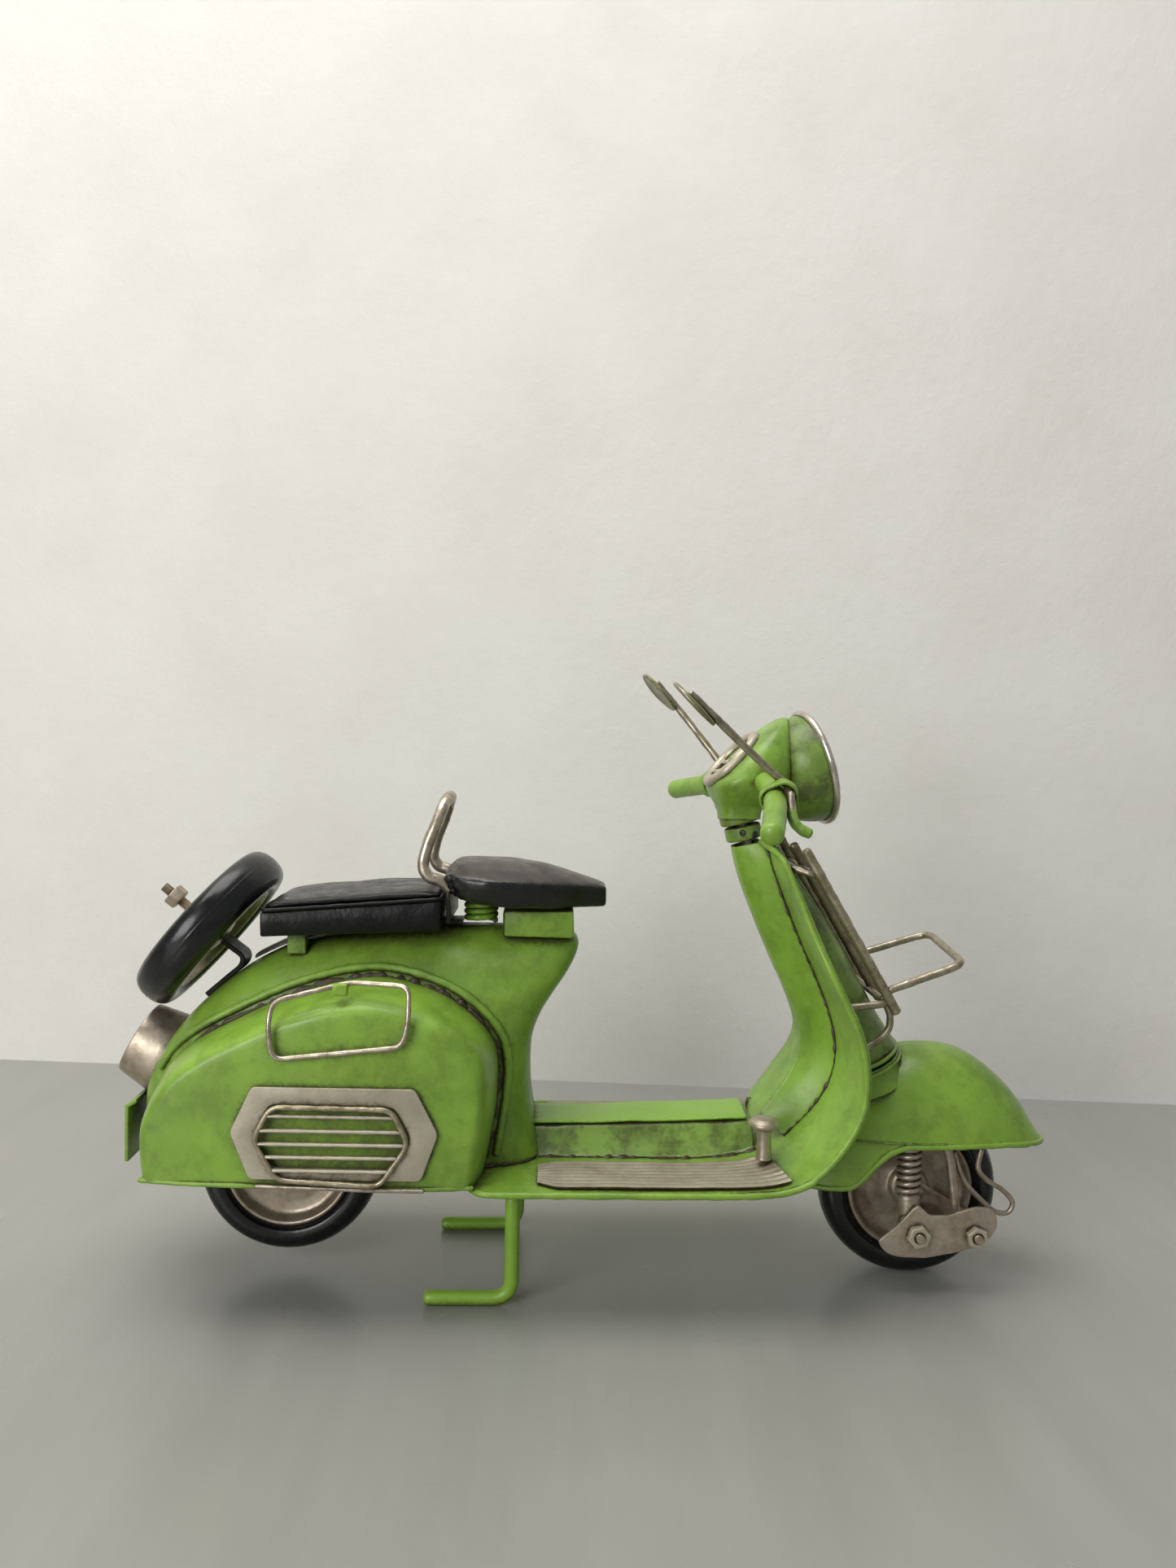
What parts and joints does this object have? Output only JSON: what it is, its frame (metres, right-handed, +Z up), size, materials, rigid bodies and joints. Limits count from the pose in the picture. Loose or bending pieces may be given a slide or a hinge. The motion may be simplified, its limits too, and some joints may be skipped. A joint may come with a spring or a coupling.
{
  "type": "model motor scooter",
  "caption": "Sheet-metal model motor scooter on its centre stand, with turning bars, free wheels, side cowls, saddle, pillion pad, spare wheel and front carrier.",
  "frame": {"origin": "on the ground under the middle of the model's bounding box", "axes": "+X forward, +Y to the rider's left, +Z up"},
  "size_m": [0.2632, 0.1019, 0.1717],
  "materials": {
    "green_enamel": "apple green enamel, grimy in the seams",
    "silver_paint": "patchy warm silver paint",
    "bright_wire": "bare wire with brown tarnish",
    "black_rubber": "smooth black rubber",
    "black_seat": "black, worn brown on top",
    "black_paint": "matt black",
    "lamp_glass": "clear"
  },
  "bodies": {
    "chassis": {"body_shell": "green_enamel", "brake_pedal": "silver_paint", "column_cover": "green_enamel", "cowl_guard_left": "bright_wire", "cowl_guard_right": "bright_wire", "floor_mat_left": "silver_paint", "floor_mat_right": "silver_paint", "floor_tunnel": "green_enamel", "grab_handle": "bright_wire", "grille_louvre": "silver_paint", "grille_plate": "silver_paint", "horn_cover": "green_enamel", "neck_collar": "green_enamel", "number_plate": "green_enamel", "pillion_base": "black_seat", "pillion_pad": "black_seat", "rack_frame": "bright_wire", "rack_loop": "bright_wire", "rear_axle": "bright_wire", "rear_axle_bracket": "black_paint", "ridge_strip": "black_paint", "saddle": "black_seat", "saddle_bracket": "green_enamel", "saddle_spring": "green_enamel", "shield_and_floor": "green_enamel", "side_cowl_left": "green_enamel", "side_cowl_right": "green_enamel", "spare_bolt": "bright_wire", "spare_bracket": "black_paint", "spare_rim": "silver_paint", "spare_tyre": "black_rubber", "stand_bracket": "green_enamel", "tail_lamp": "silver_paint", "tunnel_strip": "green_enamel"},
    "steering": {"steering_stem": "bright_wire", "neck_ring": "green_enamel", "headset": "green_enamel", "lamp_bucket": "green_enamel", "lamp_rim": "bright_wire", "lamp_lens": "lamp_glass", "dial": "silver_paint", "handlebar": "green_enamel", "band_left": "green_enamel", "band_right": "green_enamel", "mirror_left": "bright_wire", "mirror_right": "bright_wire", "front_fender": "green_enamel", "fork_leg": "silver_paint", "link_plate": "silver_paint", "axle_arm": "silver_paint", "link_bolt_front": "silver_paint", "link_bolt_rear": "silver_paint", "front_spring": "silver_paint", "front_axle": "bright_wire", "brake_cable": "silver_paint"},
    "front_wheel": {"front_tyre": "black_rubber", "front_rim": "silver_paint"},
    "rear_wheel": {"rear_tyre": "black_rubber", "rear_rim": "silver_paint"},
    "stand": {"centre_stand": "green_enamel"}
  },
  "joints": [
    {"name": "steering_turn", "type": "hinge", "parent": "chassis", "child": "steering", "pos_m": [0.0426, 0, 0.127], "axis": [-0.3649, 0, 0.9311], "range_deg": [-15, 15]},
    {"name": "front_wheel_spin", "type": "hinge", "parent": "steering", "child": "front_wheel", "pos_m": [0.0922, 0, 0.0253], "axis": [0, 1, 0], "continuous": true},
    {"name": "rear_wheel_spin", "type": "hinge", "parent": "chassis", "child": "rear_wheel", "pos_m": [-0.084, 0, 0.0309], "axis": [0, 1, 0], "continuous": true},
    {"name": "stand_fold", "type": "hinge", "parent": "chassis", "child": "stand", "pos_m": [-0.0202, 0, 0.0318], "axis": [0, 1, 0], "range_deg": [0, 55]}
  ]
}
